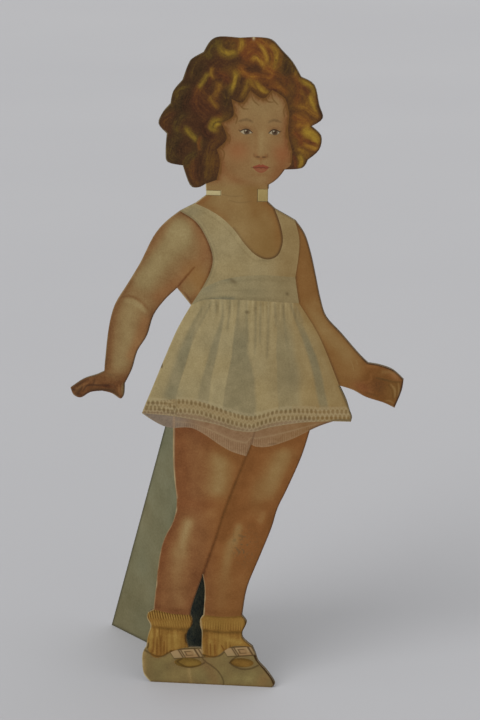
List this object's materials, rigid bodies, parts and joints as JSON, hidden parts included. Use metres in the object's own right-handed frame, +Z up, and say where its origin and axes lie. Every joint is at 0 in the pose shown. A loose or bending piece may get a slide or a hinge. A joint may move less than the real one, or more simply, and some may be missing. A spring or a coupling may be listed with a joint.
{
  "type": "paper doll",
  "caption": "Standing die-cut paper doll of a child in a slip, printed on thick card, with a folding easel wing hinged by its lining paper.",
  "frame": {"origin": "on the floor, in the middle of the soles and of the board's thickness", "axes": "+Z up; -Y the way the doll faces; +X to the viewer's right; the figure leans back towards +Y"},
  "size_m": [0.155, 0.074, 0.3044],
  "materials": {
    "greyboard": "matte cut board",
    "litho_paper": "matte",
    "lining_paper": "matte",
    "gummed_paper": "matte",
    "easel_card": "matte",
    "hair_ink": "satin",
    "skin_ink": "satin",
    "slip_ink": "satin",
    "sash_ink": "satin",
    "lace_ink": "satin",
    "knickers_ink": "satin",
    "sock_ink": "satin",
    "shoe_ink": "satin"
  },
  "bodies": {
    "doll": {"doll_board": "greyboard", "printed_sheet": "litho_paper", "back_paper": "lining_paper", "neck_strip": "gummed_paper", "easel_flange": "easel_card", "flange_paper": "lining_paper", "print_hair": "hair_ink", "print_face": "skin_ink", "print_arms": "skin_ink", "print_slip": "slip_ink", "print_sash": "sash_ink", "print_lace": "lace_ink", "print_knickers": "knickers_ink", "print_legs": "skin_ink", "print_socks": "sock_ink", "print_shoes": "shoe_ink"},
    "wing": {"easel_wing": "easel_card", "wing_paper": "lining_paper"}
  },
  "joints": [
    {"name": "easel_fold", "type": "hinge", "parent": "doll", "child": "wing", "pos_m": [0.0093, 0.00269, -0.00019], "axis": [0, -0.0698, -0.9976], "range_deg": [-44, 44]}
  ]
}
